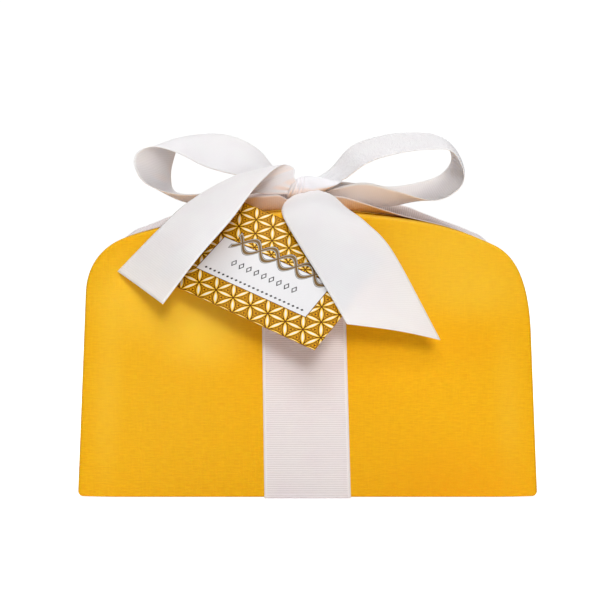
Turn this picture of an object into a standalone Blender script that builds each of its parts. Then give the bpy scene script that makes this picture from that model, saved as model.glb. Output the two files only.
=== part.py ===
# Shut gift box for a low festive loaf, tied with a wide ribbon, a bow and a printed tag.
# Units are metres, +Z is up, +X is to the right of the front panel, the front panel faces -Y.
# The origin is the middle of the underside, on the surface that the box stands on.
import math

import bmesh
import bpy
from mathutils import Matrix, Vector

# Driving dimensions of the box
BOX_WIDTH = 0.267
BOX_HEIGHT = 0.160
BASE_DEPTH = 0.240
PANEL_LEAN = math.radians(19.7)
ARCH_LEFT = (0.50, 40.3)
ARCH_RIGHT = (0.30, 81.0)
PEAK_HEIGHT = 0.0027
PEAK_WIDTH = 0.045
SHOULDER_LEFT = {"inset": 0.0242, "drop": 0.0448, "arch_pull": 0.0051, "side_pull": 0.0241, "kink": -0.088}
SHOULDER_RIGHT = {"inset": 0.0255, "drop": 0.0689, "arch_pull": 0.0137, "side_pull": 0.0395, "kink": -0.147}
SHOULDER_RISE = 0.0023
PANEL_TURN_WIDTH = 0.028
PANEL_TURN_DEPTH = 0.0026
EDGE_RADIUS = 0.0024
EDGE_STEPS = 4
FOOT_RADIUS = 0.0030

# Driving dimensions of the ribbon, the knot and the tag
RIBBON_WIDTH = 0.050
RIBBON_THICKNESS = 0.0006
CLEARANCE = 0.0003
BASE_LIFT = RIBBON_THICKNESS + CLEARANCE
KNOT_CENTRE = Vector((0.001, -0.004, 0.1785))
KNOT_RADII = Vector((0.0128, 0.0105, 0.0074))
KNOT_FOLDS = 7
KNOT_FOLD_DEPTH = 0.07
TAG_LENGTH = 0.1055
TAG_HEIGHT = 0.0802
TAG_THICKNESS = 0.0006
TAG_CENTRE = Vector((-0.02016, -0.09797, 0.13074))
TAG_LEAN = math.radians(48.0)
TAG_TURN = math.radians(31.5)

for old in list(bpy.data.objects):
    bpy.data.objects.remove(old, do_unlink=True)


def make_material(name, colour, roughness):
    material = bpy.data.materials.new(name)
    material.use_nodes = True
    shader = material.node_tree.nodes["Principled BSDF"]
    shader.inputs["Base Color"].default_value = (*colour, 1.0)
    shader.inputs["Roughness"].default_value = roughness
    shader.inputs["Metallic"].default_value = 0.0
    material.diffuse_color = (*colour, 1.0)
    return material


CARD = make_material("yellow_linen_card", (0.913, 0.445, 0.013), 0.60)
RIBBON = make_material("white_grosgrain", (0.86, 0.84, 0.85), 0.75)
TAG_CARD = make_material("tag_card", (0.80, 0.55, 0.20), 0.45)


def add_object(name, mesh, material):
    thing = bpy.data.objects.new(name, mesh)
    bpy.context.scene.collection.objects.link(thing)
    mesh.materials.append(material)
    return thing


def smooth_shading(thing, angle=math.radians(40.0)):
    thing.data.shade_smooth()
    thing.data.set_sharp_from_angle(angle=angle)


def arch_height(x):
    square, fourth = ARCH_LEFT if x < 0.0 else ARCH_RIGHT
    peak = PEAK_HEIGHT * math.exp(-(x / PEAK_WIDTH) ** 2)
    return BOX_HEIGHT - square * x * x - fourth * x ** 4 + peak


def arch_slope(x):
    square, fourth = ARCH_LEFT if x < 0.0 else ARCH_RIGHT
    peak = PEAK_HEIGHT * math.exp(-(x / PEAK_WIDTH) ** 2)
    return -2.0 * square * x - 4.0 * fourth * x ** 3 - 2.0 * x / PEAK_WIDTH ** 2 * peak


def half_depth(z):
    return BASE_DEPTH / 2.0 - z * math.tan(PANEL_LEAN)


def panel_turn(x):
    reach = abs(x) - (BOX_WIDTH / 2.0 - PANEL_TURN_WIDTH)
    if reach <= 0.0:
        return 0.0
    return PANEL_TURN_DEPTH * (reach / PANEL_TURN_WIDTH) ** 2


def bezier(p0, p1, p2, p3, t):
    s = 1.0 - t
    return p0 * s ** 3 + p1 * 3.0 * s * s * t + p2 * 3.0 * s * t * t + p3 * t ** 3


def shoulder(side, shape, steps=9):
    # Runs from the arch down to the straight side; side is -1 on the left and +1 on the right.
    # The kink is how much steeper the shoulder starts than the arch ends.
    half = BOX_WIDTH / 2.0
    x = half - shape["inset"]
    slope = side * arch_slope(side * x) - shape["kink"]
    along = Vector((1.0, slope)).normalized()
    p0 = Vector((x, arch_height(side * x)))
    p3 = Vector((half, BOX_HEIGHT - shape["drop"]))
    p1 = p0 + along * shape["arch_pull"]
    p2 = p3 + Vector((0.0, shape["side_pull"]))
    points = [bezier(p0, p1, p2, p3, k / steps) for k in range(steps + 1)]
    return [Vector((side * p.x, p.y)) for p in points]


def box_outline(arch_steps=26, foot_steps=3):
    # Front view of the box as two chains from left to right: the top with its shoulders, and the foot.
    half = BOX_WIDTH / 2.0
    right = shoulder(1, SHOULDER_RIGHT)
    left = list(reversed(shoulder(-1, SHOULDER_LEFT)))
    start = left[-1].x
    end = right[0].x
    upper = list(left)
    for k in range(1, arch_steps):
        x = start + (end - start) * k / arch_steps
        upper.append(Vector((x, arch_height(x))))
    upper += right
    corner = []
    for k in range(foot_steps + 1):
        angle = math.pi / 2.0 * k / foot_steps
        x = half - FOOT_RADIUS * (1.0 - math.cos(angle))
        corner.append(Vector((x, FOOT_RADIUS * (1.0 - math.sin(angle)))))
    lower = [Vector((-p.x, p.y)) for p in corner]
    inner = half - FOOT_RADIUS - 0.001
    lower += [Vector((p.x, 0.0)) for p in upper if abs(p.x) < inner]
    lower += list(reversed(corner))
    return upper, lower


def inward(points, k):
    # Unit normal of a closed anticlockwise outline at one of its points, towards the inside.
    count = len(points)
    before = (points[k] - points[(k - 1) % count]).normalized()
    after = (points[(k + 1) % count] - points[k]).normalized()
    along = (before + after).normalized()
    return Vector((-along.y, along.x))


def close_panel(bm, upper, lower):
    # Fills a panel between its two chains, which both run from left to right.
    i = 0
    j = 0
    while i < len(lower) - 1 or j < len(upper) - 1:
        step_lower = j == len(upper) - 1
        if i < len(lower) - 1 and j < len(upper) - 1:
            step_lower = lower[i + 1].co.x <= upper[j + 1].co.x
        if step_lower:
            bm.faces.new((lower[i], lower[i + 1], upper[j]))
            i += 1
        else:
            bm.faces.new((lower[i], upper[j + 1], upper[j]))
            j += 1


def build_box():
    # The outline is carried round the box in rings: round the front edge, across, round the back edge.
    mesh = bpy.data.meshes.new("box")
    bm = bmesh.new()
    upper, lower = box_outline()
    outline = lower + list(reversed(upper))
    count = len(outline)
    normals = [inward(outline, k) for k in range(count)]
    rings = []
    for face_side in (-1.0, 1.0):
        for step in range(EDGE_STEPS + 1):
            angle = math.pi / 2.0 * step / EDGE_STEPS
            if face_side > 0.0:
                angle = math.pi / 2.0 - angle
            inset = EDGE_RADIUS * (1.0 - math.sin(angle))
            back = EDGE_RADIUS * (1.0 - math.cos(angle))
            ring = []
            for p, n in zip(outline, normals):
                q = p + n * inset
                depth = half_depth(q.y) - panel_turn(q.x) - back
                ring.append(bm.verts.new((q.x, face_side * depth, q.y + BASE_LIFT)))
            rings.append(ring)
    for one, two in zip(rings, rings[1:]):
        for k in range(count):
            n = (k + 1) % count
            bm.faces.new((one[k], one[n], two[n], two[k]))
    for ring in (rings[0], rings[-1]):
        close_panel(bm, list(reversed(ring[len(lower):])), ring[:len(lower)])
    bmesh.ops.recalc_face_normals(bm, faces=bm.faces[:])
    bm.to_mesh(mesh)
    bm.free()
    box = add_object("box", mesh, CARD)
    smooth_shading(box)
    return box


def spline(points, t):
    # Smooth curve through all the points, with t running from 0 to 1.
    spans = len(points) - 1
    place = min(max(t, 0.0), 1.0) * spans
    k = min(int(place), spans - 1)
    u = place - k
    b = points[k]
    c = points[k + 1]
    a = points[k - 1] if k > 0 else b * 2.0 - c
    d = points[k + 2] if k + 2 <= spans else c * 2.0 - b
    return (b * 2.0 + (c - a) * u + (a * 2.0 - b * 5.0 + c * 4.0 - d) * u ** 2
            + (b * 3.0 - a - c * 3.0 + d) * u ** 3) * 0.5


def ribbon_strip(name, stations, along=44, across=5):
    # Each station is one edge point, the other edge point (millimetres) and the belly between them.
    one = [Vector(s[0]) * 0.001 for s in stations]
    two = [Vector(s[1]) * 0.001 for s in stations]
    belly = [Vector((s[2] * 0.001, 0.0, 0.0)) for s in stations]
    rows = []
    for i in range(along + 1):
        t = i / along
        e1 = spline(one, t)
        e2 = spline(two, t)
        before = (spline(one, max(t - 0.01, 0.0)) + spline(two, max(t - 0.01, 0.0))) / 2.0
        after = (spline(one, min(t + 0.01, 1.0)) + spline(two, min(t + 0.01, 1.0))) / 2.0
        normal = (after - before).cross(e2 - e1).normalized()
        sag = spline(belly, t).x
        row = []
        for j in range(across + 1):
            v = j / across
            row.append(e1.lerp(e2, v) + normal * (sag * 4.0 * v * (1.0 - v)))
        rows.append(row)
    mesh = bpy.data.meshes.new(name)
    verts = [p for row in rows for p in row]
    wide = across + 1
    faces = []
    for i in range(along):
        for j in range(across):
            a = i * wide + j
            faces.append((a, a + 1, a + wide + 1, a + wide))
    mesh.from_pydata(verts, [], faces)
    strip = add_object(name, mesh, RIBBON)
    thicken(strip)
    return strip


def thicken(strip):
    solid = strip.modifiers.new("ribbon thickness", "SOLIDIFY")
    solid.thickness = RIBBON_THICKNESS
    solid.offset = 0.0
    solid.use_even_offset = False
    solid.use_rim = True
    smooth_shading(strip)


def build_knot():
    # A gathered turn of ribbon: a rounded bar with soft folds that run round it.
    mesh = bpy.data.meshes.new("bow_knot")
    bm = bmesh.new()
    bmesh.ops.create_uvsphere(bm, u_segments=28, v_segments=16, radius=1.0)
    for vert in bm.verts:
        p = vert.co.copy()
        turn = math.atan2(p.z, p.y)
        fold = 1.0 + KNOT_FOLD_DEPTH * math.sin(KNOT_FOLDS * p.x * 1.6 + math.sin(2.0 * turn)) * (1.0 - p.x * p.x)
        vert.co = Vector((p.x * KNOT_RADII.x, p.y * KNOT_RADII.y * fold, p.z * KNOT_RADII.z * fold))
    bmesh.ops.recalc_face_normals(bm, faces=bm.faces[:])
    bm.to_mesh(mesh)
    bm.free()
    knot = add_object("bow_knot", mesh, RIBBON)
    knot.location = KNOT_CENTRE
    smooth_shading(knot, math.radians(70.0))
    return knot


def knot_cutter():
    # Slightly larger than the knot, so that each strip stops just short of it.
    mesh = bpy.data.meshes.new("knot_clearance")
    bm = bmesh.new()
    bmesh.ops.create_icosphere(bm, subdivisions=3, radius=1.0)
    room = 1.0 + KNOT_FOLD_DEPTH
    for vert in bm.verts:
        p = vert.co
        vert.co = Vector((p.x * (KNOT_RADII.x + 0.0005), p.y * (KNOT_RADII.y * room + 0.0005),
                          p.z * (KNOT_RADII.z * room + 0.0005)))
    bm.to_mesh(mesh)
    bm.free()
    cutter = bpy.data.objects.new("knot_clearance", mesh)
    bpy.context.scene.collection.objects.link(cutter)
    cutter.location = KNOT_CENTRE
    cutter.hide_render = True
    cutter.display_type = "WIRE"
    return cutter


def stop_at_knot(strip, cutter):
    cut = strip.modifiers.new("stop at the knot", "BOOLEAN")
    cut.operation = "DIFFERENCE"
    cut.object = cutter


def build_tag():
    mesh = bpy.data.meshes.new("tag")
    bm = bmesh.new()
    bmesh.ops.create_cube(bm, size=1.0)
    for vert in bm.verts:
        vert.co = Vector((vert.co.x * TAG_LENGTH, vert.co.y * TAG_HEIGHT, vert.co.z * TAG_THICKNESS))
    bm.to_mesh(mesh)
    bm.free()
    tag = add_object("tag", mesh, TAG_CARD)
    tag.location = TAG_CENTRE
    # The card lies in its own XY plane: it is turned in that plane, then leant back.
    lean = Matrix.Rotation(math.pi / 2.0 - TAG_LEAN, 3, "X")
    turn = Matrix.Rotation(-TAG_TURN, 3, "Z")
    tag.rotation_euler = (lean @ turn).to_euler()
    return tag


# Edge stations of the bow in millimetres: back edge, front edge, belly.
RIGHT_LOOP = [
    ((4, 3, 183.5), (8, -6, 178.8), 0.0),
    ((15, 11, 190.5), (23, -12.5, 183.6), -1.0),
    ((28.5, 18, 204.8), (37, -20, 193.6), -1.5),
    ((46, 22, 211.4), (54, -23, 199.4), -1.0),
    ((66, 23, 214.0), (74, -24, 202.4), -0.5),
    ((86, 23, 211.8), (91, -24, 201.2), -2.2),
    ((95, 23, 198.5), (98.6, -24, 187.0), -3.0),
    ((89, 23, 187.5), (94, -24, 176.5), -2.0),
    ((76, 23, 182.0), (79, -24, 170.5), -3.0),
    ((56, 21, 178.8), (57, -21, 176.4), -11.0),
    ((36, 15, 180.5), (37, -15, 181.6), -14.5),
    ((18, 8, 182.2), (19, -9, 178.4), -12.0),
    ((6, 3, 179.0), (6, -4, 173.6), -3.5),
]
LEFT_LOOP = [
    ((-5, 8, 182.5), (-6, 1, 181.0), 0.0),
    ((-19, 14, 188.5), (-24, -1, 183.0), 1.0),
    ((-33, 19, 203.5), (-46, -13, 186.6), 2.5),
    ((-50, 22, 211.8), (-65, -20, 192.0), 2.0),
    ((-68, 22, 213.2), (-82, -23, 200.4), 3.0),
    ((-82, 22, 209.5), (-97, -23, 204.4), 1.0),
    ((-88, 22, 198.0), (-107.4, -23, 200.6), -4.0),
    ((-90.3, 22, 184.5), (-109, -23, 191.6), -5.0),
    ((-86.5, 22, 175.0), (-101, -23, 180.4), -0.5),
    ((-68, 21, 174.0), (-80, -21, 174.2), 6.0),
    ((-45, 16, 178.0), (-52, -12.5, 176.3), 5.5),
    ((-23, 10, 180.0), (-25, -1, 178.5), 2.5),
    ((-6, 5, 178.5), (-7, -1, 177.5), 0.5),
]
LEFT_TAIL = [
    ((-6, -6, 174.5), (-5.5, -8, 179.0), 0.0),
    ((-29, -10.5, 174.5), (-8.4, -10, 185.4), 0.5),
    ((-39, -11.5, 180.3), (-8.8, -8, 191.0), 0.8),
    ((-40, -14, 188.0), (-18.0, -18, 192.2), 0.8),
    ((-58, -32, 180.0), (-32, -58, 178.8), 2.0),
    ((-75.5, -53, 168.2), (-44.8, -92, 160.8), 2.0),
    ((-89.8, -71, 153.95), (-63.2, -112, 139.2), 1.5),
    ((-113.8, -77.4, 129.15), (-82.8, -121, 113.3), 1.0),
]
RIGHT_TAIL = [
    ((-4, -8, 176.0), (5, -7, 177.5), 0.0),
    ((-11, -18, 172.0), (8, -16, 176.5), 1.0),
    ((-15, -40, 168.0), (16, -28, 173.5), 3.0),
    ((-14.8, -68, 161.8), (24.0, -52, 166.5), 5.5),
    ((-4.4, -88, 144.4), (36.0, -74, 157.5), 5.0),
    ((8.3, -108, 125.3), (50.9, -88, 140.7), 3.5),
    ((22.3, -130, 102.8), (76.4, -116, 92.2), 1.5),
]


# Side arms over the top, in millimetres: distance out, share of the full width, lift off the box,
# rise of the front edge and rise of the back edge. The back edge is pulled taut towards the knot.
RIGHT_ARM_OVER_THE_TOP = [
    (104.0, 1.00, 0.0, 0.0, 2.3),
    (92.0, 0.99, 0.0, 0.0, 2.4),
    (78.0, 0.98, 0.1, 0.0, 3.9),
    (64.0, 0.96, 0.3, 0.6, 6.6),
    (48.0, 0.86, 0.5, 3.2, 7.6),
    (34.0, 0.70, 0.6, 6.4, 7.2),
    (20.0, 0.50, 0.7, 9.0, 8.0),
    (13.5, 0.38, 0.9, 9.0, 8.4),
]
LEFT_ARM_OVER_THE_TOP = [
    (104.0, 1.00, 0.0, 0.0, 2.7),
    (92.0, 0.99, 0.1, 0.0, 4.3),
    (78.0, 0.98, 0.3, 0.3, 6.4),
    (64.0, 0.96, 0.6, 2.4, 7.6),
    (48.0, 0.86, 0.6, 7.6, 9.2),
    (34.0, 0.70, 0.6, 10.0, 12.4),
    (20.0, 0.50, 0.6, 10.2, 12.4),
    (13.5, 0.34, 0.8, 6.8, 11.0),
]


def wrap_arm(kind):
    # Guide points of one arm of the wrapping ribbon, from the base to the knot:
    # distance from the middle, height, half width, sideways drift, front edge rise, back edge rise.
    out = CLEARANCE + RIBBON_THICKNESS / 2.0
    half = RIBBON_WIDTH / 2.0
    guide = []
    if kind in ("front", "back"):
        crown = arch_height(0.0)
        top = crown + BASE_LIFT + out
        drift = -0.0215 if kind == "front" else 0.0
        lean = math.tan(PANEL_LEAN)
        off = out / math.cos(PANEL_LEAN)
        foot = half_depth(0.0)
        guide.append((foot - 0.0030, RIBBON_THICKNESS / 2.0, half, 0.0, 0.0, 0.0))
        guide.append((foot - 0.0008, RIBBON_THICKNESS / 2.0 + 0.0001, half, 0.0, 0.0, 0.0))
        guide.append((foot + 0.0004, RIBBON_THICKNESS / 2.0 + 0.0011, half, 0.0, 0.0, 0.0))
        for share in (0.03, 0.12, 0.25, 0.40, 0.55, 0.68):
            z = share * crown
            guide.append((half_depth(z) + off, z + BASE_LIFT, half, drift * z, 0.0, 0.0))
        for share, width in ((0.78, 0.90), (0.87, 0.74), (0.94, 0.58), (0.975, 0.49)):
            z = share * crown
            sideways = drift * z * (1.0 - share) / 0.32
            guide.append((half_depth(z) + off, z + BASE_LIFT, half * width, sideways, 0.0, 0.0))
        edge = half_depth(crown)
        guide.append((edge + 0.0004, top + 0.0001, half * 0.44, 0.0, 0.0, 0.0))
        guide.append((edge - 0.0050, top + 0.0004, half * 0.40, 0.0, 0.0, 0.0))
        guide.append((0.0300, 0.1655, half * 0.34, 0.0, 0.0006, 0.0006))
        if kind == "front":
            guide.append((0.0080, 0.1715, half * 0.24, 0.0, 0.0006, 0.0006))
        else:
            guide.append((0.0130, 0.1690, half * 0.27, 0.0, 0.0006, 0.0006))
            guide.append((0.0020, 0.1702, half * 0.22, 0.0, 0.0006, 0.0006))
        return guide
    shape = SHOULDER_RIGHT if kind == "right" else SHOULDER_LEFT
    side = 1 if kind == "right" else -1
    over_the_top = RIGHT_ARM_OVER_THE_TOP if kind == "right" else LEFT_ARM_OVER_THE_TOP
    bend = [Vector((abs(p.x), p.y)) for p in reversed(shoulder(side, shape))]
    edge = BOX_WIDTH / 2.0
    guide.append((edge - 0.0030, RIBBON_THICKNESS / 2.0, half, 0.0, 0.0, 0.0))
    guide.append((edge - 0.0008, RIBBON_THICKNESS / 2.0 + 0.0001, half, 0.0, 0.0, 0.0))
    guide.append((edge + 0.0004, RIBBON_THICKNESS / 2.0 + 0.0011, half, 0.0, 0.0, 0.0))
    for share in (0.03, 0.20, 0.45, 0.70):
        guide.append((edge + out, share * bend[0].y + BASE_LIFT, half, 0.0, 0.0, 0.0))
    for k, p in enumerate(bend):
        a = bend[max(k - 1, 0)]
        b = bend[min(k + 1, len(bend) - 1)]
        normal = Vector((b.y - a.y, a.x - b.x)).normalized()
        rise = SHOULDER_RISE * min(1.0, max(0.0, (edge - 0.003 - p.x) / 0.018))
        guide.append((p.x + normal.x * out, p.y + normal.y * out + BASE_LIFT, half, 0.0, 0.0, rise))
    for x, width, lift, front_rise, back_rise in over_the_top:
        height = arch_height(side * x * 0.001) + BASE_LIFT + out + lift * 0.001
        guide.append((x * 0.001, height, half * width, 0.0, front_rise * 0.001, back_rise * 0.001))
    guide.append((0.0060, 0.1735, half * 0.26, 0.0, 0.0010, 0.0010))
    return guide


def build_wrap(across=4):
    # A plus-shaped sheet: the crossing under the base and four arms that run up to the knot.
    name = "ribbon_wrap"
    mesh = bpy.data.meshes.new(name)
    bm = bmesh.new()
    half = RIBBON_WIDTH / 2.0
    low = RIBBON_THICKNESS / 2.0
    grid = {}
    for i in range(across + 1):
        for j in range(across + 1):
            x = -half + RIBBON_WIDTH * i / across
            y = -half + RIBBON_WIDTH * j / across
            grid[(i, j)] = bm.verts.new((x, y, low))
    for i in range(across):
        for j in range(across):
            bm.faces.new((grid[(i, j)], grid[(i + 1, j)], grid[(i + 1, j + 1)], grid[(i, j + 1)]))
    n = across
    starts = {
        "front": [grid[(i, 0)] for i in range(n + 1)],
        "right": [grid[(n, j)] for j in range(n + 1)],
        "back": [grid[(n - i, n)] for i in range(n + 1)],
        "left": [grid[(0, n - j)] for j in range(n + 1)],
    }
    ways = {
        "front": (Vector((0.0, -1.0, 0.0)), Vector((1.0, 0.0, 0.0))),
        "right": (Vector((1.0, 0.0, 0.0)), Vector((0.0, 1.0, 0.0))),
        "back": (Vector((0.0, 1.0, 0.0)), Vector((-1.0, 0.0, 0.0))),
        "left": (Vector((-1.0, 0.0, 0.0)), Vector((0.0, -1.0, 0.0))),
    }
    for kind, last in starts.items():
        out, wide = ways[kind]
        for reach, height, half_width, drift, front_rise, back_rise in wrap_arm(kind):
            row = []
            for j in range(n + 1):
                v = -1.0 + 2.0 * j / n
                place = out * reach + wide * (half_width * v + drift)
                behind = place.y > 0.0 if kind in ("left", "right") else v > 0.0
                place.z = height + (back_rise if behind else front_rise) * v * v
                row.append(bm.verts.new(place))
            for j in range(n):
                bm.faces.new((last[j + 1], last[j], row[j], row[j + 1]))
            last = row
    bmesh.ops.recalc_face_normals(bm, faces=bm.faces[:])
    bm.to_mesh(mesh)
    bm.free()
    wrap = add_object(name, mesh, RIBBON)
    thicken(wrap)
    return wrap


build_box()
build_knot()
cutter = knot_cutter()
wrap = build_wrap()
strips = [
    ribbon_strip("bow_loop_right", RIGHT_LOOP),
    ribbon_strip("bow_loop_left", LEFT_LOOP),
    ribbon_strip("bow_tail_left", LEFT_TAIL, along=34),
    ribbon_strip("bow_tail_right", RIGHT_TAIL, along=30),
]
for strip in strips + [wrap]:
    stop_at_knot(strip, cutter)
build_tag()
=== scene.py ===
import math

import bmesh
import bpy
import numpy as np
from mathutils import Matrix, Vector, noise


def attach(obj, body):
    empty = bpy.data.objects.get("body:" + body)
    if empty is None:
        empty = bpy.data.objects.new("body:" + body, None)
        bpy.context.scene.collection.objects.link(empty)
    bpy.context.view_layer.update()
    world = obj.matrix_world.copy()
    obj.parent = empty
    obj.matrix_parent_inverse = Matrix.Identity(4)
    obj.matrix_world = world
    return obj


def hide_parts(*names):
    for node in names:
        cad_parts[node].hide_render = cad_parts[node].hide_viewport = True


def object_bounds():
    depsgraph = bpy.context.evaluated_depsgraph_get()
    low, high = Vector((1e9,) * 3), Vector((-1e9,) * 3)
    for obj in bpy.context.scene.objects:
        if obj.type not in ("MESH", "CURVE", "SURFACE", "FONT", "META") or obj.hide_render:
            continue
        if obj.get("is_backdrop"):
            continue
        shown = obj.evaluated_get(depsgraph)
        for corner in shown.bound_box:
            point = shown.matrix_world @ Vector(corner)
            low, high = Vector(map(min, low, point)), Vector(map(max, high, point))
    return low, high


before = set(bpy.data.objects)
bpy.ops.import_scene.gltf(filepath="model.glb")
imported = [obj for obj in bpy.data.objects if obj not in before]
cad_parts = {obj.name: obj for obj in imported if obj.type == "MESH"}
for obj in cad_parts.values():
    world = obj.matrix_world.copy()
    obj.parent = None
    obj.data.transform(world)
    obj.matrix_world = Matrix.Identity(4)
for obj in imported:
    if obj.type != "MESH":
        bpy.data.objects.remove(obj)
CAD_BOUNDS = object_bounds()

# The card box, as in the frame but with a slightly sharper edge
BOX_WIDTH = 0.267
BOX_HEIGHT = 0.160
BASE_DEPTH = 0.240
PANEL_LEAN = math.radians(19.7)
ARCH_LEFT = (0.50, 40.3)
ARCH_RIGHT = (0.30, 81.0)
PEAK_HEIGHT = 0.0027
PEAK_WIDTH = 0.045
SHOULDER_LEFT = {"inset": 0.0242, "drop": 0.0448, "arch_pull": 0.0051, "side_pull": 0.0241, "kink": -0.088}
SHOULDER_RIGHT = {"inset": 0.0255, "drop": 0.0689, "arch_pull": 0.0137, "side_pull": 0.0395, "kink": -0.147}
# How far a side band lifts off the shoulder at its back edge, and where it starts to
SHOULDER_RISE = 0.0023
RISE_START = 0.003
RISE_LENGTH = 0.018
PANEL_TURN_WIDTH = 0.028
PANEL_TURN_DEPTH = 0.0026
EDGE_RADIUS = 0.0021
FOOT_RADIUS = 0.0030
BASE_LIFT = 0.0009
CORNER_CLEARANCE = 0.0005
# Flat stretches beside the rounded edge, in edge radii
PANEL_STRETCH = 1.3
RIM_STRETCH = 1.8

# The ribbon, the knot and the tag, as in the frame but a little thinner
RIBBON_WIDTH = 0.050
BOW_THICKNESS = 0.00042
BAND_THICKNESS = 0.00040
BAND_GAP = 0.0003
LOWER_BAND_HEIGHT = 0.00025
UPPER_BAND_HEIGHT = 0.00067
FRONT_BAND_DRIFT = -0.0215
KNOT_CENTRE = Vector((0.001, -0.004, 0.1785))
KNOT_RADII = Vector((0.0128, 0.0105, 0.0074))
TAG_LENGTH = 0.1055
TAG_HEIGHT = 0.0802
TAG_THICKNESS = 0.0005
TAG_CENTRE = Vector((-0.02016, -0.09797, 0.13074))
TAG_LEAN = math.radians(48.0)
TAG_TURN = math.radians(31.5)

# Folds of the bow: the share of a strip that gathers, and the depths of its pleats and ripples
GATHER_SHARE = 0.22
PLEAT_DEPTH = 0.00055
RIPPLE_DEPTH = 0.00045
RIPPLE_SCALE = 38.0
SLOPE_STEP = 0.01
# Shares of the knot's radii inside which a strip stops
BOW_STOP = 0.62
BAND_STOP = 0.80

# The knot's pinched left end, and its right end that runs into the loop
KNOT_LEFT_REACH = 0.0134
KNOT_LEFT_SLANT = 0.48
KNOT_END = Vector((0.0178, 0.0027, 0.0080))
KNOT_END_DEEP = Vector((-0.0038, 0.0114, 0.0033))
KNOT_END_THICK = Vector((-0.0001, 0.0, 0.0003))
KNOT_GIRTH = 0.056
KNOT_STRETCH = 1.4
# Shares of the knot's radius
CREASE_DEPTH = 0.055
DRAPE_DEPTH = 0.018
ROUGH_DEPTH = 0.03

# Weave of the card: colours, thread pitch and scales of the uneven threads
CARD_DEEP = (0.850, 0.396, 0.0025)
CARD_BRIGHT = (0.955, 0.505, 0.0060)
CARD_CLOUD = (0.930, 0.485, 0.0090)
# Tints of the painted highlights and painted shade on the front panel
PAINTED_HIGHLIGHT_TINT = (0.970, 0.620, 0.050)
PAINTED_SHADE_TINT = (0.860, 0.350, 0.0015)
LINEN_PITCH = 0.00078
THREAD_DRIFT = 0.0011
DRIFT_SCALE = 260.0
SLUB_SCALES = (900.0, 60.0)
STREAK_SCALES = (210.0, 1500.0)
STREAK_STRENGTH = 1.6
CLOUD_STRENGTH = 0.18
CLOUD_SCALE = 14.0
# The painted highlights and painted shade fade out between these two depths, so they stay on the front
# panel
PAINTED_ZONES_END = (-0.060, -0.010)
# Painted highlights on the front panel, where light and sheen fall on the bent card: middle X and Z, half
# width, half height and amount
PAINTED_HIGHLIGHT_ZONES = (
    (-0.062, 0.102, 0.044, 0.040, 0.84),
    (-0.106, 0.114, 0.036, 0.038, 0.46),
    (-0.118, 0.058, 0.013, 0.075, 0.26),
    (-0.085, 0.070, 0.090, 0.110, 0.14),
    (0.118, 0.050, 0.013, 0.070, 0.18),
    (0.100, 0.114, 0.060, 0.024, 0.22),
    (0.086, 0.140, 0.080, 0.046, 0.36),
)
# Painted shade on the front panel's right half, deepest near the bottom: middle X and Z, half width, half
# height and amount
PAINTED_SHADE_ZONES = (
    (0.086, 0.004, 0.075, 0.045, 0.55),
    (0.092, 0.088, 0.040, 0.022, 0.22),
)

# Weave of the ribbon: colours, pitches of ribs and threads, and the plain edge
# The band's white with a painted warm bounce from the yellow box
BAND_WHITE_AND_BOUNCE = (0.900, 0.836, 0.834)
# Painted shade in the grooves between the ribs, deeper on the band than on the bow
BAND_GROOVE_SHADE = (0.600, 0.525, 0.522)
BOW_WHITE = (0.875, 0.868, 0.890)
BOW_GROOVE_SHADE = (0.815, 0.805, 0.825)
RIBBON_CLOUD_TINT = (0.99, 0.965, 0.985)
RIBBON_CLOUD_SCALE = 42.0
# Tint and strength of the bounce light from the yellow box, painted on ribbon undersides
PAINTED_BOUNCE_TINT = (1.000, 0.790, 0.680)
PAINTED_BOUNCE_STRENGTH = 0.75
RIB_PITCH = 0.001297
THREAD_PITCH = 0.00042
FIBRE_SCALES = (2600.0, 300.0)
# Shares of ribs, threads and fibres in the height, and the height and fibres of the plain edge
RIB_SHARE = 0.80
THREAD_SHARE = 0.12
FIBRE_SHARE = 0.14
PLAIN_HEIGHT = 0.72
PLAIN_FIBRE_SHARE = 0.16
SELVEDGE = 0.0019
SELVEDGE_BLUR = 0.0004
SELVEDGE_GAIN = 1.03
BRIGHTEST = 0.93

# Print of the tag: colours, and places on the card from its middle
TAG_BROWN = (0.135, 0.034, 0.0008)
TAG_GOLD = (0.830, 0.390, 0.004)
TAG_AMBER = (0.930, 0.550, 0.020)
TAG_WHITE = (0.900, 0.870, 0.790)
TAG_INK = (0.050, 0.047, 0.048)
PAPER_GREY = (0.78, 0.77, 0.785)
PAPER_WHITE = (0.82, 0.81, 0.825)
TAG_PRINT_SHIFT = 0.00275
PETAL_PITCH = 0.0118
LATTICE_ORIGIN = (0.0065, -0.0303)
# Soft steps of the lattice start and end at these shares of a petal's pitch
PETAL_CORE = (0.050, 0.115)
PETAL_EDGE = (-0.004, 0.004)
PETAL_LINE = (0.019, 0.033)
RIM_DISTANCE = 0.066
RIM_LINE = (0.009, 0.018)
DOT_EDGE = (0.045, 0.065)
# Left, bottom, right and top of the pale label, then where its dark border starts and ends
LABEL = (-0.0370, -0.0213, 0.0380, 0.0086)
BORDER_START = (-0.0001, 0.0001)
BORDER_END = (0.00035, 0.00055)
# The plait: length and swing of a wave, height, middle and half length, and its bands from outside in
PLAIT_PITCH = 0.0250
PLAIT_SWING = 0.0058
PLAIT_HEIGHT = 0.0098
PLAIT_MIDDLE = 0.0060
PLAIT_HALF_LENGTH = 0.0345
PLAIT_BANDS = (
    (0.00185, 0.00205, TAG_INK),
    (0.00150, 0.00165, (0.620, 0.600, 0.560)),
    (0.00105, 0.00120, (0.210, 0.125, 0.050)),
)
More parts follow.
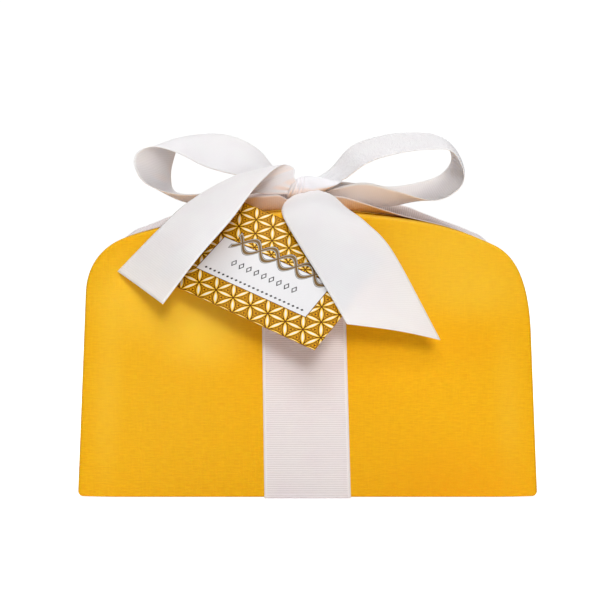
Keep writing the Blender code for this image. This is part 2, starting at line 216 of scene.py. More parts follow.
# Open lozenges in a row, with a row of small solid ones below
OPEN_HALF_PITCH = 0.0026
OPEN_HALF_WIDTH = 0.0017
OPEN_HALF_HEIGHT = 0.0030
OPEN_ROW = -0.0066
OPEN_REACH = 0.0230
OPEN_OUTLINE = 0.80
OPEN_LINE = (0.17, 0.24)
OPEN_END_SLOPE = 400.0
SMALL_HALF_PITCH = 0.0015
SMALL_ROW = -0.0178
SMALL_REACH = 0.0330
SMALL_EDGE = (0.00085, 0.00105)

# The studio and the camera; the photo's width and the shift are in pixels
WHITE = (1.0, 1.0, 1.0, 1.0)
WORLD_LIGHT = 0.09
WORLD_SEEN = 1.05
FLOOR_LIGHT = 0.10
FLOOR_SEEN = 0.85
LIGHTS_AIM = Vector((0.0, -0.05, 0.10))
CAMERA_PLACE = (0.0, -1.0, 0.190)
CAMERA_PITCH = math.radians(4.833)
CAMERA_LENS = 92.62
CAMERA_SENSOR = 36.0
PHOTO_WIDTH = 600.0
PHOTO_SHIFT = -7.6


class Nodes:
    """Builds one procedural material."""

    def __init__(self, name, roughness, specular):
        self.material = bpy.data.materials.new(name)
        self.material.use_nodes = True
        self.tree = self.material.node_tree
        self.shader = self.tree.nodes["Principled BSDF"]
        self.shader.inputs["Roughness"].default_value = roughness
        self.shader.inputs["Specular IOR Level"].default_value = specular

    def node(self, kind, **settings):
        made = self.tree.nodes.new(kind)
        for key, value in settings.items():
            setattr(made, key, value)
        return made

    def put(self, value, socket):
        if isinstance(value, bpy.types.NodeSocket):
            self.tree.links.new(value, socket)
        elif isinstance(value, tuple) and len(value) == 3 and socket.type == "RGBA":
            socket.default_value = (*value, 1.0)
        else:
            socket.default_value = value

    def math(self, operation, *values):
        made = self.node("ShaderNodeMath", operation=operation)
        for value, socket in zip(values, made.inputs):
            self.put(value, socket)
        return made.outputs[0]

    def add(self, one, two):
        return self.math("ADD", one, two)

    def less(self, one, two):
        return self.math("SUBTRACT", one, two)

    def times(self, one, two):
        return self.math("MULTIPLY", one, two)

    def size(self, value):
        return self.math("ABSOLUTE", value)

    def off(self, value, middle):
        return self.size(self.less(value, middle))

    def wave(self, value, pitch):
        sine = self.math("SINE", self.times(value, 2.0 * math.pi / pitch))
        return self.times(self.add(sine, 1.0), 0.5)

    def vector(self, operation, *values):
        made = self.node("ShaderNodeVectorMath", operation=operation)
        for value, socket in zip(values, made.inputs):
            self.put(value, socket)
        return made.outputs["Value" if operation in ("LENGTH", "DISTANCE") else "Vector"]

    def mix(self, factor, one, two):
        made = self.node("ShaderNodeMix", data_type="RGBA")
        self.put(factor, made.inputs[0])
        self.put(one, made.inputs[6])
        self.put(two, made.inputs[7])
        return made.outputs[2]

    def blend(self, factor, one, two):
        made = self.node("ShaderNodeMix", data_type="FLOAT")
        self.put(factor, made.inputs[0])
        self.put(one, made.inputs[2])
        self.put(two, made.inputs[3])
        return made.outputs[0]

    def step(self, value, low, high):
        made = self.node("ShaderNodeMapRange", interpolation_type="SMOOTHSTEP")
        self.put(value, made.inputs["Value"])
        made.inputs["From Min"].default_value = low
        made.inputs["From Max"].default_value = high
        return made.outputs["Result"]

    def place(self, x, y):
        made = self.node("ShaderNodeCombineXYZ")
        self.put(x, made.inputs[0])
        self.put(y, made.inputs[1])
        return made.outputs[0]

    def split(self, vector):
        made = self.node("ShaderNodeSeparateXYZ")
        self.put(vector, made.inputs[0])
        return tuple(made.outputs)

    def uv(self):
        u, v, _ = self.split(self.node("ShaderNodeUVMap").outputs[0])
        return u, v

    def object_place(self):
        return self.node("ShaderNodeTexCoord").outputs["Object"]

    def noise(self, vector, scale, detail=2.0):
        made = self.node("ShaderNodeTexNoise")
        self.put(vector, made.inputs["Vector"])
        made.inputs["Scale"].default_value = scale
        made.inputs["Detail"].default_value = detail
        return made.outputs[0]

    def streaks(self, u, v, scales, detail=2.0):
        return self.noise(self.place(self.times(u, scales[0]), self.times(v, scales[1])), 1.0, detail)

    def light_passes(self, weight, radius, scale):
        self.shader.inputs["Subsurface Weight"].default_value = weight
        self.shader.inputs["Subsurface Radius"].default_value = radius
        self.shader.inputs["Subsurface Scale"].default_value = scale

    def finish(self, colour, height=None, depth=0.0, strength=1.0, roughness=None):
        self.put(colour, self.shader.inputs["Base Color"])
        if roughness is not None:
            self.put(roughness, self.shader.inputs["Roughness"])
        if height is not None:
            bump = self.node("ShaderNodeBump")
            bump.inputs["Strength"].default_value = strength
            bump.inputs["Distance"].default_value = depth
            self.put(height, bump.inputs["Height"])
            self.tree.links.new(bump.outputs[0], self.shader.inputs["Normal"])
        return self.material


def soft_zones(n, flat, zones):
    # Sum of soft ellipses, each full at its middle and gone at its edge.
    total = 0.0
    for x, z, half_width, half_height, amount in zones:
        near = n.vector("SUBTRACT", flat, (x, z, 0.0))
        away = n.vector("LENGTH", n.vector("DIVIDE", near, (half_width, half_height, 1.0)))
        spot = n.less(1.0, n.step(away, 0.0, 1.0))
        total = n.math("MULTIPLY_ADD", spot, amount, total)
    return total


def linen_card():
    # Matt yellow card embossed with crossing threads of uneven thickness.
    n = Nodes("yellow_linen_card", roughness=0.55, specular=0.10)
    n.light_passes(weight=0.20, radius=(1.0, 0.30, 0.02), scale=0.0040)
    u, v = n.uv()
    drift = n.times(n.less(n.noise(n.place(u, v), DRIFT_SCALE), 0.5), THREAD_DRIFT)
    warp = n.wave(n.add(u, drift), LINEN_PITCH)
    weft = n.wave(n.add(v, drift), LINEN_PITCH)
    warp = n.times(warp, n.streaks(u, v, SLUB_SCALES))
    weft = n.times(weft, n.streaks(u, v, SLUB_SCALES[::-1]))
    threads = n.add(warp, weft)
    streak = n.less(n.streaks(u, v, STREAK_SCALES, detail=1.0), 0.5)
    streaked = n.math("MULTIPLY_ADD", streak, STREAK_STRENGTH, threads)
    colour = n.mix(n.step(streaked, 0.10, 0.90), CARD_DEEP, CARD_BRIGHT)
    cloud = n.noise(n.place(u, v), CLOUD_SCALE, detail=4.0)
    colour = n.mix(n.times(cloud, CLOUD_STRENGTH), colour, CARD_CLOUD)
    # Painted highlights and painted shade: soft lighter and darker patches on the front panel where light
    # falls
    x, y, z = n.split(n.object_place())
    front = n.less(1.0, n.step(y, *PAINTED_ZONES_END))
    for zones, tint in ((PAINTED_HIGHLIGHT_ZONES, PAINTED_HIGHLIGHT_TINT), (PAINTED_SHADE_ZONES, PAINTED_SHADE_TINT)):
        amount = soft_zones(n, n.place(x, z), zones)
        colour = n.mix(n.times(amount, front), colour, tint)
    rough = n.blend(threads, 0.62, 0.48)
    return n.finish(colour, threads, depth=0.00016, strength=0.9, roughness=rough)


def painted_underside_bounce(n):
    # Painted bounce light: warm light from the yellow box painted on the undersides just above it.
    facing = n.split(n.node("ShaderNodeNewGeometry").outputs["Normal"])[2]
    height = n.split(n.object_place())[2]
    under = n.less(1.0, n.step(facing, -0.45, 0.15))
    low = n.less(1.0, n.step(height, 0.180, 0.202))
    near = n.times(n.step(height, 0.150, 0.163), low)
    return n.times(n.times(under, near), PAINTED_BOUNCE_STRENGTH)


def grosgrain(name, white, groove_shade, contrast=1.0, through=0.6):
    # Ribs run across the ribbon, and a plain woven edge runs down each side.
    n = Nodes(name, roughness=0.75, specular=0.25)
    n.shader.inputs["Sheen Weight"].default_value = 0.08
    n.light_passes(weight=through, radius=(1.0, 1.0, 1.0), scale=0.0015)
    u, v = n.uv()
    rib = n.size(n.math("SINE", n.times(v, math.pi / RIB_PITCH)))
    thread = n.wave(u, THREAD_PITCH)
    fibre = n.streaks(u, v, FIBRE_SCALES)
    ribbed = n.add(n.times(rib, RIB_SHARE), n.times(thread, THREAD_SHARE))
    ribbed = n.add(ribbed, n.times(fibre, FIBRE_SHARE))
    plain = n.add(PLAIN_HEIGHT, n.times(fibre, PLAIN_FIBRE_SHARE))
    edge_start = RIBBON_WIDTH / 2.0 - SELVEDGE
    edge = n.step(n.size(u), edge_start, edge_start + SELVEDGE_BLUR)
    height = n.blend(edge, ribbed, plain)
    cloud = n.step(n.noise(n.place(u, v), RIBBON_CLOUD_SCALE), 0.35, 0.65)
    clouded = tuple(part * tint for part, tint in zip(white, RIBBON_CLOUD_TINT))
    # Painted shade in the grooves between the ribs
    body = n.mix(n.step(ribbed, 0.05, 0.60), groove_shade, n.mix(cloud, clouded, white))
    colour = n.mix(edge, body, tuple(min(part * SELVEDGE_GAIN, BRIGHTEST) for part in white))
    # Painted bounce light from the yellow box on the undersides above it
    colour = n.mix(painted_underside_bounce(n), colour, PAINTED_BOUNCE_TINT)
    rough = n.blend(fibre, 0.82, 0.66)
    return n.finish(colour, height, depth=0.00016 * contrast, strength=0.8, roughness=rough)


def rosette_lattice(n, u, v):
    # A traditional lattice of six-petal rosettes: a petal is where two circles overlap.
    root = math.sqrt(3.0)
    x = n.math("DIVIDE", n.less(u, LATTICE_ORIGIN[0]), PETAL_PITCH)
    y = n.math("DIVIDE", n.less(v, LATTICE_ORIGIN[1]), PETAL_PITCH)
    row = n.math("ROUND", n.math("DIVIDE", y, root))
    point = n.place(n.off(x, n.math("ROUND", x)), n.off(y, n.times(row, root)))

    def reach(px, py):
        return n.vector("DISTANCE", point, (px, py, 0.0))

    slanted = n.math("MAXIMUM", reach(1.0, 0.0), reach(-0.5, root / 2.0))
    level = n.math("MINIMUM", reach(0.5, -root / 2.0), reach(0.0, root))
    depth = n.less(1.0, n.math("MINIMUM", slanted, level))
    dot = n.math("MINIMUM", reach(0.5, root / 6.0), reach(0.0, root / 3.0))
    petal = n.mix(n.step(depth, *PETAL_CORE), TAG_AMBER, TAG_WHITE)
    ground = n.mix(n.step(dot, *DOT_EDGE), TAG_BROWN, TAG_GOLD)
    ground = n.mix(n.step(n.off(depth, -RIM_DISTANCE), *RIM_LINE), TAG_BROWN, ground)
    lattice = n.mix(n.step(depth, *PETAL_EDGE), ground, petal)
    return n.mix(n.step(n.size(depth), *PETAL_LINE), TAG_BROWN, lattice)


def plait(n, u, v):
    # Distance from the nearer of two crossing waves, which end together.
    swing = n.times(n.math("SINE", n.times(u, 2.0 * math.pi / PLAIT_PITCH)), PLAIT_SWING)
    rise = n.less(v, PLAIT_HEIGHT)
    nearer = n.math("MINIMUM", n.off(rise, swing), n.size(n.add(rise, swing)))
    return n.math("MAXIMUM", nearer, n.less(n.off(u, PLAIT_MIDDLE), PLAIT_HALF_LENGTH))


def open_lozenges(n, u, v, middle):
    cell = n.math("PINGPONG", n.less(u, middle), OPEN_HALF_PITCH)
    wide = n.math("DIVIDE", cell, OPEN_HALF_WIDTH)
    tall = n.math("DIVIDE", n.off(v, OPEN_ROW), OPEN_HALF_HEIGHT)
    past_end = n.times(n.less(n.off(u, middle), OPEN_REACH), OPEN_END_SLOPE)
    return n.math("MAXIMUM", n.off(n.add(wide, tall), OPEN_OUTLINE), past_end)


def small_lozenges(n, u, v, middle):
    cell = n.math("PINGPONG", n.less(u, middle), SMALL_HALF_PITCH)
    past_end = n.less(n.off(u, middle), SMALL_REACH)
    return n.math("MAXIMUM", n.add(cell, n.off(v, SMALL_ROW)), past_end)


def printed_tag():
    # A pale label with a thin dark border on the lattice, and a bold plait over its upper edge.
    n = Nodes("tag_print", roughness=0.55, specular=0.05)
    u, v = n.uv()
    left, bottom, right, top = LABEL
    middle = (left + right) / 2.0
    out_x = n.less(n.off(u, middle), (right - left) / 2.0)
    out_y = n.less(n.off(v, (bottom + top) / 2.0), (top - bottom) / 2.0)
    outside = n.math("MAXIMUM", out_x, out_y)
    paper = n.mix(n.noise(n.place(u, v), scale=900.0), PAPER_GREY, PAPER_WHITE)
    label = n.mix(n.step(open_lozenges(n, u, v, middle), *OPEN_LINE), TAG_INK, paper)
    label = n.mix(n.step(small_lozenges(n, u, v, middle), *SMALL_EDGE), TAG_INK, label)
    face = n.mix(n.step(outside, *BORDER_START), label, TAG_BROWN)
    face = n.mix(n.step(outside, *BORDER_END), face, rosette_lattice(n, u, v))
    cord = plait(n, u, v)
    for start, end, tint in PLAIT_BANDS:
        face = n.mix(n.step(cord, start, end), tint, face)
    grain = n.noise(n.place(u, v), scale=1400.0)
    return n.finish(face, grain, depth=0.00003, strength=0.5, roughness=n.blend(grain, 0.36, 0.50))


def plain_card(name, colour):
    n = Nodes(name, roughness=0.7, specular=0.3)
    grain = n.noise(n.object_place(), scale=900.0, detail=3.0)
    dark = tuple(part * 0.94 for part in colour)
    return n.finish(n.mix(grain, dark, colour), grain, depth=0.00004, strength=0.6)


CARD = linen_card()
# The band is the bow's ribbon with a painted warm bounce and deeper painted groove shade
BAND = grosgrain("white_grosgrain_band", BAND_WHITE_AND_BOUNCE, BAND_GROOVE_SHADE, through=0.15)
BOW = grosgrain("white_grosgrain_bow", BOW_WHITE, BOW_GROOVE_SHADE, contrast=0.5)
TAG_FACE = printed_tag()
TAG_BACK = plain_card("tag_back_card", (0.56, 0.26, 0.03))
# Painted shade: the tag's cut edge is coloured dark brown-orange, as it looks in shade
TAG_EDGE_SHADE = plain_card("tag_edge_painted_shade", (0.42, 0.17, 0.02))


def show(name, mesh, materials, slot, *nodes):
    thing = bpy.data.objects.new(name, mesh)
    bpy.context.scene.collection.objects.link(thing)
    for material in materials:
        mesh.materials.append(material)
    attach(thing, "root")
    if nodes:
        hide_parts(*nodes)
    return thing


# The card box

def arch_height(x):
    square, fourth = ARCH_LEFT if x < 0.0 else ARCH_RIGHT
    peak = PEAK_HEIGHT * math.exp(-(x / PEAK_WIDTH) ** 2)
    return BOX_HEIGHT - square * x * x - fourth * x ** 4 + peak


def arch_slope(x):
    square, fourth = ARCH_LEFT if x < 0.0 else ARCH_RIGHT
    peak = PEAK_HEIGHT * math.exp(-(x / PEAK_WIDTH) ** 2)
    return -2.0 * square * x - 4.0 * fourth * x ** 3 - 2.0 * x / PEAK_WIDTH ** 2 * peak


def half_depth(z):
    return BASE_DEPTH / 2.0 - z * math.tan(PANEL_LEAN)


def panel_turn(x):
    reach = abs(x) - (BOX_WIDTH / 2.0 - PANEL_TURN_WIDTH)
    if reach <= 0.0:
        return 0.0
    return PANEL_TURN_DEPTH * (reach / PANEL_TURN_WIDTH) ** 2


def bezier(p0, p1, p2, p3, t):
    s = 1.0 - t
    return p0 * s ** 3 + p1 * 3.0 * s * s * t + p2 * 3.0 * s * t * t + p3 * t ** 3


def shoulder(side, shape, steps=9):
    # Runs from the arch down to the straight side; side is -1 on the left and +1 on the right.
    # The kink is how much steeper the shoulder starts than the arch ends.
    half = BOX_WIDTH / 2.0
    x = half - shape["inset"]
    slope = side * arch_slope(side * x) - shape["kink"]
    along = Vector((1.0, slope)).normalized()
    p0 = Vector((x, arch_height(side * x)))
    p3 = Vector((half, BOX_HEIGHT - shape["drop"]))
    p1 = p0 + along * shape["arch_pull"]
    p2 = p3 + Vector((0.0, shape["side_pull"]))
    points = [bezier(p0, p1, p2, p3, k / steps) for k in range(steps + 1)]
    return [Vector((side * p.x, p.y)) for p in points]


def box_outline(arch_steps=96, shoulder_steps=36, foot_steps=8):
    # Upper and lower half of the front view, both from left to right.
    half = BOX_WIDTH / 2.0
    right = shoulder(1, SHOULDER_RIGHT, shoulder_steps)
    left = list(reversed(shoulder(-1, SHOULDER_LEFT, shoulder_steps)))
    start = left[-1].x
    end = right[0].x
    upper = list(left)
    for k in range(1, arch_steps):
        x = start + (end - start) * k / arch_steps
        upper.append(Vector((x, arch_height(x))))
    upper += right
    corner = []
    for k in range(foot_steps + 1):
        angle = math.pi / 2.0 * k / foot_steps
        x = half - FOOT_RADIUS * (1.0 - math.cos(angle))
        corner.append(Vector((x, FOOT_RADIUS * (1.0 - math.sin(angle)))))
    lower = [Vector((-p.x, p.y)) for p in corner]
    inner = half - FOOT_RADIUS - CORNER_CLEARANCE
    lower += [Vector((p.x, 0.0)) for p in upper if abs(p.x) < inner]
    lower += list(reversed(corner))
    return upper, lower


def inward(points, k):
    # Direction into the outline at point k.
    count = len(points)
    before = (points[k] - points[(k - 1) % count]).normalized()
    after = (points[(k + 1) % count] - points[k]).normalized()
    along = (before + after).normalized()
    return Vector((-along.y, along.x))


def close_panel(bm, upper, lower):
    # Triangles between the upper and the lower row of a panel's points.
    i = 0
    j = 0
    made = []
    while i < len(lower) - 1 or j < len(upper) - 1:
        step_lower = j == len(upper) - 1
        if i < len(lower) - 1 and j < len(upper) - 1:
            step_lower = lower[i + 1].co.x <= upper[j + 1].co.x
        if step_lower:
            made.append(bm.faces.new((lower[i], lower[i + 1], upper[j])))
            i += 1
        else:
            made.append(bm.faces.new((lower[i], upper[j + 1], upper[j])))
            j += 1
    return made


def edge_profile(steps):
    # Round edge between panel and rim, with a short flat stretch before and after it.
    profile = [(EDGE_RADIUS * PANEL_STRETCH, 0.0)]
    for step in range(steps + 1):
        angle = math.pi / 2.0 * step / steps
        profile.append((EDGE_RADIUS * (1.0 - math.sin(angle)), EDGE_RADIUS * (1.0 - math.cos(angle))))
    profile.append((0.0, EDGE_RADIUS * RIM_STRETCH))
    return profile


def panel_uv(place):
    return (place.x, place.z / math.cos(PANEL_LEAN))


def build_box(edge_steps=6):
    # Two panels, and between them rings of faces round the outline.
    bm = bmesh.new()
    uv = bm.loops.layers.uv.new("UVMap")
    upper, lower = box_outline()
    outline = lower + list(reversed(upper))
    count = len(outline)
    normals = [inward(outline, k) for k in range(count)]
    way = [0.0]
    for k in range(count):
        way.append(way[-1] + (outline[(k + 1) % count] - outline[k]).length)
    profile = edge_profile(edge_steps)
    rings = []
    for face_side in (-1.0, 1.0):
        for inset, back in (profile if face_side < 0.0 else reversed(profile)):
            ring = []
            for p, normal in zip(outline, normals):
                q = p + normal * inset
                depth = half_depth(q.y) - panel_turn(q.x) - back
                ring.append(bm.verts.new((q.x, face_side * depth, q.y + BASE_LIFT)))
            rings.append(ring)
    flat_rings = 1 + edge_steps // 2
    for number, (one, two) in enumerate(zip(rings, rings[1:])):
        on_panel = number < flat_rings or number >= len(rings) - 1 - flat_rings
        for k in range(count):
            following = (k + 1) % count
            face = bm.faces.new((one[k], one[following], two[following], two[k]))
            ways = (way[k], way[k + 1], way[k + 1], way[k])
            for loop, along in zip(face.loops, ways):
                if on_panel:
                    loop[uv].uv = panel_uv(loop.vert.co)
                else:
                    loop[uv].uv = (along, loop.vert.co.y)
    for ring in (rings[0], rings[-1]):
        for face in close_panel(bm, list(reversed(ring[len(lower):])), ring[:len(lower)]):
            for loop in face.loops:
                loop[uv].uv = panel_uv(loop.vert.co)
    bmesh.ops.recalc_face_normals(bm, faces=bm.faces[:])
    mesh = bpy.data.meshes.new("card_box")
    bm.to_mesh(mesh)
    bm.free()
    mesh.shade_smooth()
    return show("card_box", mesh, [CARD], "yellow_linen_card", "box")


# Ribbon: every strip is a grid of points with one UV across and one along, both in metres

def ribbon_solid(name, grid, ways, material, thickness, *nodes):
    rows = len(grid)
    wide = len(grid[0])
    verts = [p for row in grid for p in row]
    faces = []
    for i in range(rows - 1):
        for j in range(wide - 1):
            a = i * wide + j
            faces.append((a, a + 1, a + wide + 1, a + wide))
    mesh = bpy.data.meshes.new(name)
    mesh.from_pydata(verts, [], faces)
    layer = mesh.uv_layers.new(name="UVMap")
    for loop in mesh.loops:
        i, j = divmod(loop.vertex_index, wide)
        layer.data[loop.index].uv = (RIBBON_WIDTH * (j / (wide - 1) - 0.5), ways[i])
    mesh.shade_smooth()
    strip = show(name, mesh, [material], "white_grosgrain", *nodes)
    solid = strip.modifiers.new("ribbon thickness", "SOLIDIFY")
    solid.thickness = thickness
    solid.offset = 0.0
    solid.use_even_offset = False
    solid.use_rim = True
    return strip


def spline(points, t):
    # Catmull-Rom curve through the points, with t from 0 to 1.
    spans = len(points) - 1
    place = min(max(t, 0.0), 1.0) * spans
    k = min(int(place), spans - 1)
    u = place - k
    b = points[k]
    c = points[k + 1]
    a = points[k - 1] if k > 0 else b * 2.0 - c
    d = points[k + 2] if k + 2 <= spans else c * 2.0 - b
    return (b * 2.0 + (c - a) * u + (a * 2.0 - b * 5.0 + c * 4.0 - d) * u ** 2
            + (b * 3.0 - a - c * 3.0 + d) * u ** 3) * 0.5


def in_knot(p, share):
    # Whether p is inside the knot when its radii are cut to this share.
    q = p - KNOT_CENTRE
    return sum((q[k] / (KNOT_RADII[k] * share)) ** 2 for k in range(3)) < 1.0


def strip_grid(stations, pleats, seed, along=150, across=28, both_ends=False):
    # A bow's strip between two edge curves, with pleats where it nears the knot.
    one = [Vector(s[0]) * 0.001 for s in stations]
    two = [Vector(s[1]) * 0.001 for s in stations]
    belly = [Vector((s[2] * 0.001, 0.0, 0.0)) for s in stations]
    grid = []
    ways = []
    way = 0.0
    last = None
    for i in range(along + 1):
        t = i / along
        e1 = spline(one, t)
        e2 = spline(two, t)
        middle = (e1 + e2) / 2.0
        sooner = max(t - SLOPE_STEP, 0.0)
        later = min(t + SLOPE_STEP, 1.0)
        before = (spline(one, sooner) + spline(two, sooner)) / 2.0
        after = (spline(one, later) + spline(two, later)) / 2.0
        normal = (after - before).cross(e2 - e1).normalized()
        sag = spline(belly, t).x
        if last is not None:
            way += (middle - last).length
        last = middle
        if in_knot(middle, BOW_STOP):
            continue
        near = min(t, 1.0 - t) if both_ends else t
        gather = max(0.0, 1.0 - near / GATHER_SHARE) ** 1.5
        row = []
        for j in range(across + 1):
            v = j / across
            p = e1.lerp(e2, v) + normal * (sag * 4.0 * v * (1.0 - v))
            edge = math.sin(math.pi * v) ** 0.5 if 0.0 < v < 1.0 else 0.0
            fold = math.sin(2.0 * math.pi * pleats * v + seed) * PLEAT_DEPTH * gather
            soft = noise.noise(p * RIPPLE_SCALE + Vector((0.0, 0.0, seed))) * RIPPLE_DEPTH
            row.append(p + normal * ((fold + soft) * edge))
        grid.append(row)
        ways.append(way)
    return grid, ways


# Stations along the bow's strips in millimetres: one edge, the other edge and the belly between
RIGHT_LOOP = [
    ((4, 3, 183.5), (8, -6, 178.8), 0.0),
    ((15, 11, 190.5), (23, -12.5, 183.6), -1.0),
    ((28.5, 18, 204.8), (37, -20, 193.6), -1.5),
    ((46, 22, 211.4), (54, -23, 199.4), -1.0),
    ((66, 23, 214.0), (74, -24, 202.4), -0.5),
    ((86, 23, 211.8), (91, -24, 201.2), -2.2),
    ((95, 23, 198.5), (98.6, -24, 187.0), -3.0),
    ((89, 23, 187.5), (94, -24, 176.5), -2.0),
    ((76, 23, 182.0), (79, -24, 170.5), -3.0),
    ((56, 21, 178.8), (57, -21, 176.4), -11.0),
    ((36, 15, 180.5), (37, -15, 181.6), -14.5),
    ((18, 8, 182.2), (19, -9, 178.4), -12.0),
    ((6, 3, 179.0), (6, -4, 173.6), -3.5),
]
LEFT_LOOP = [
    ((-5, 8, 182.5), (-6, 1, 181.0), 0.0),
    ((-19, 14, 188.5), (-24, -1, 183.0), 1.0),
    ((-33, 19, 203.5), (-46, -13, 186.6), 2.5),
    ((-50, 22, 211.8), (-65, -20, 192.0), 2.0),
    ((-68, 22, 213.2), (-82, -23, 200.4), 3.0),
    ((-82, 22, 209.5), (-97, -23, 204.4), 1.0),
    ((-88, 22, 198.0), (-107.4, -23, 200.6), -4.0),
    ((-90.3, 22, 184.5), (-109, -23, 191.6), -5.0),
    ((-86.5, 22, 175.0), (-101, -23, 180.4), -0.5),
    ((-68, 21, 174.0), (-80, -21, 174.2), 6.0),
    ((-45, 16, 178.0), (-52, -12.5, 176.3), 5.5),
    ((-23, 10, 180.0), (-25, -1, 178.5), 2.5),
    ((-6, 5, 178.5), (-7, -1, 177.5), 0.5),
]
LEFT_TAIL = [
    ((-6, -6, 174.5), (-5.5, -8, 179.0), 0.0),
    ((-29, -10.5, 174.5), (-8.4, -10, 185.4), 0.5),
    ((-39, -11.5, 180.3), (-8.8, -8, 191.0), 0.8),
    ((-40, -14, 188.0), (-18.0, -18, 192.2), 0.8),
    ((-58, -32, 180.0), (-32, -58, 178.8), 2.0),
    ((-75.5, -53, 168.2), (-44.8, -92, 160.8), 2.0),
    ((-89.8, -71, 153.95), (-63.2, -112, 139.2), 1.5),
    ((-113.8, -77.4, 129.15), (-82.8, -121, 113.3), 1.0),
]
RIGHT_TAIL = [
    ((-4, -8, 176.0), (5, -7, 177.5), 0.0),
    ((-11, -18, 172.0), (8, -16, 176.5), 1.0),
    ((-15, -40, 168.0), (16, -28, 173.5), 3.0),
    ((-14.8, -68, 161.8), (24.0, -52, 166.5), 5.5),
    ((-4.4, -88, 144.4), (36.0, -74, 157.5), 5.0),
    ((8.3, -108, 125.3), (50.9, -88, 140.7), 3.5),
    ((22.3, -130, 102.8), (76.4, -116, 92.2), 1.5),
]
# Millimetres out from the middle and up, share of the full width, and rise of both edges
FRONT_ARM_OVER_THE_TOP = [
    (30.0, 165.5, 0.34, 0.6),
    (8.0, 171.5, 0.24, 0.6),
]
BACK_ARM_OVER_THE_TOP = [
    (30.0, 165.5, 0.34, 0.6),
    (13.0, 169.0, 0.27, 0.6),
    (2.0, 170.2, 0.22, 0.6),
]
# Millimetres from the middle, share of the full width, lift off the arch, front and back rise
RIGHT_ARM_OVER_THE_TOP = [
    (104.0, 1.00, 0.0, 0.0, 2.3),
    (92.0, 0.99, 0.0, 0.0, 2.4),
    (78.0, 0.98, 0.1, 0.0, 3.9),
    (64.0, 0.96, 0.3, 0.6, 6.6),
    (48.0, 0.86, 0.5, 3.2, 7.6),
    (34.0, 0.70, 0.6, 6.4, 7.2),
    (20.0, 0.50, 0.7, 9.0, 8.0),
    (13.5, 0.38, 0.9, 9.0, 8.4),
]
LEFT_ARM_OVER_THE_TOP = [
    (104.0, 1.00, 0.0, 0.0, 2.7),
    (92.0, 0.99, 0.1, 0.0, 4.3),
    (78.0, 0.98, 0.3, 0.3, 6.4),
    (64.0, 0.96, 0.6, 2.4, 7.6),
    (48.0, 0.86, 0.6, 7.6, 9.2),
    (34.0, 0.70, 0.6, 10.0, 12.4),
    (20.0, 0.50, 0.6, 10.2, 12.4),
    (13.5, 0.34, 0.8, 6.8, 11.0),
]


# A guide row is distance out, height, half width, sideways drift, front rise and back rise.
# The ribbon comes out from under the box and turns up at its foot: distance past the foot, and rise.
FOOT_TURN = ((-0.0030, 0.0), (-0.0008, 0.0001), (0.0004, 0.0011))


def foot_turn(foot, low):
    return [(foot + past, low + rise, RIBBON_WIDTH / 2.0, 0.0, 0.0, 0.0) for past, rise in FOOT_TURN]


def panel_arm(kind, low):
    # Up a slanting panel, narrower from the last full share on, and over the crown to the knot.
    half = RIBBON_WIDTH / 2.0
    crown = arch_height(0.0)
    top = crown + BASE_LIFT + BAND_GAP
    drift = FRONT_BAND_DRIFT if kind == "front" else 0.0
    off = BAND_GAP / math.cos(PANEL_LEAN)
    full_shares = (0.03, 0.12, 0.25, 0.40, 0.55, 0.68)
    narrow_shares = ((0.78, 0.90), (0.87, 0.74), (0.94, 0.58), (0.975, 0.49))
    guide = foot_turn(half_depth(0.0), low)
    for share in full_shares:
        z = share * crown
        guide.append((half_depth(z) + off, z + BASE_LIFT, half, drift * z, 0.0, 0.0))
    for share, width in narrow_shares:
        z = share * crown
        sideways = drift * z * (1.0 - share) / (1.0 - full_shares[-1])
        guide.append((half_depth(z) + off, z + BASE_LIFT, half * width, sideways, 0.0, 0.0))
    edge = half_depth(crown)
    guide.append((edge + 0.0004, top + 0.0001, half * 0.44, 0.0, 0.0, 0.0))
    guide.append((edge - 0.0050, top + 0.0004, half * 0.40, 0.0, 0.0, 0.0))
    over_the_top = FRONT_ARM_OVER_THE_TOP if kind == "front" else BACK_ARM_OVER_THE_TOP
    for y, height, width, rise in over_the_top:
        guide.append((y * 0.001, height * 0.001, half * width, 0.0, rise * 0.001, rise * 0.001))
    return guide


def side_arm(kind, low):
    # Up a straight side, round the shoulder and over the arch to the knot.
    half = RIBBON_WIDTH / 2.0
    side = 1 if kind == "right" else -1
    shape = SHOULDER_RIGHT if kind == "right" else SHOULDER_LEFT
    over_the_top = RIGHT_ARM_OVER_THE_TOP if kind == "right" else LEFT_ARM_OVER_THE_TOP
    bend = [Vector((abs(p.x), p.y)) for p in reversed(shoulder(side, shape))]
    edge = BOX_WIDTH / 2.0
    guide = foot_turn(edge, low)
    for share in (0.03, 0.20, 0.45, 0.70):
        guide.append((edge + BAND_GAP, share * bend[0].y + BASE_LIFT, half, 0.0, 0.0, 0.0))
    for k, p in enumerate(bend):
        a = bend[max(k - 1, 0)]
        b = bend[min(k + 1, len(bend) - 1)]
        normal = Vector((b.y - a.y, a.x - b.x)).normalized()
        rise = SHOULDER_RISE * min(1.0, max(0.0, (edge - RISE_START - p.x) / RISE_LENGTH))
        x = p.x + normal.x * BAND_GAP
        z = p.y + normal.y * BAND_GAP + BASE_LIFT
        guide.append((x, z, half, 0.0, 0.0, rise))
    for x, width, lift, front_rise, back_rise in over_the_top:
        height = arch_height(side * x * 0.001) + BASE_LIFT + BAND_GAP + lift * 0.001
        guide.append((x * 0.001, height, half * width, 0.0, front_rise * 0.001, back_rise * 0.001))
    guide.append((0.0060, 0.1735, half * 0.26, 0.0, 0.0010, 0.0010))
    return guide


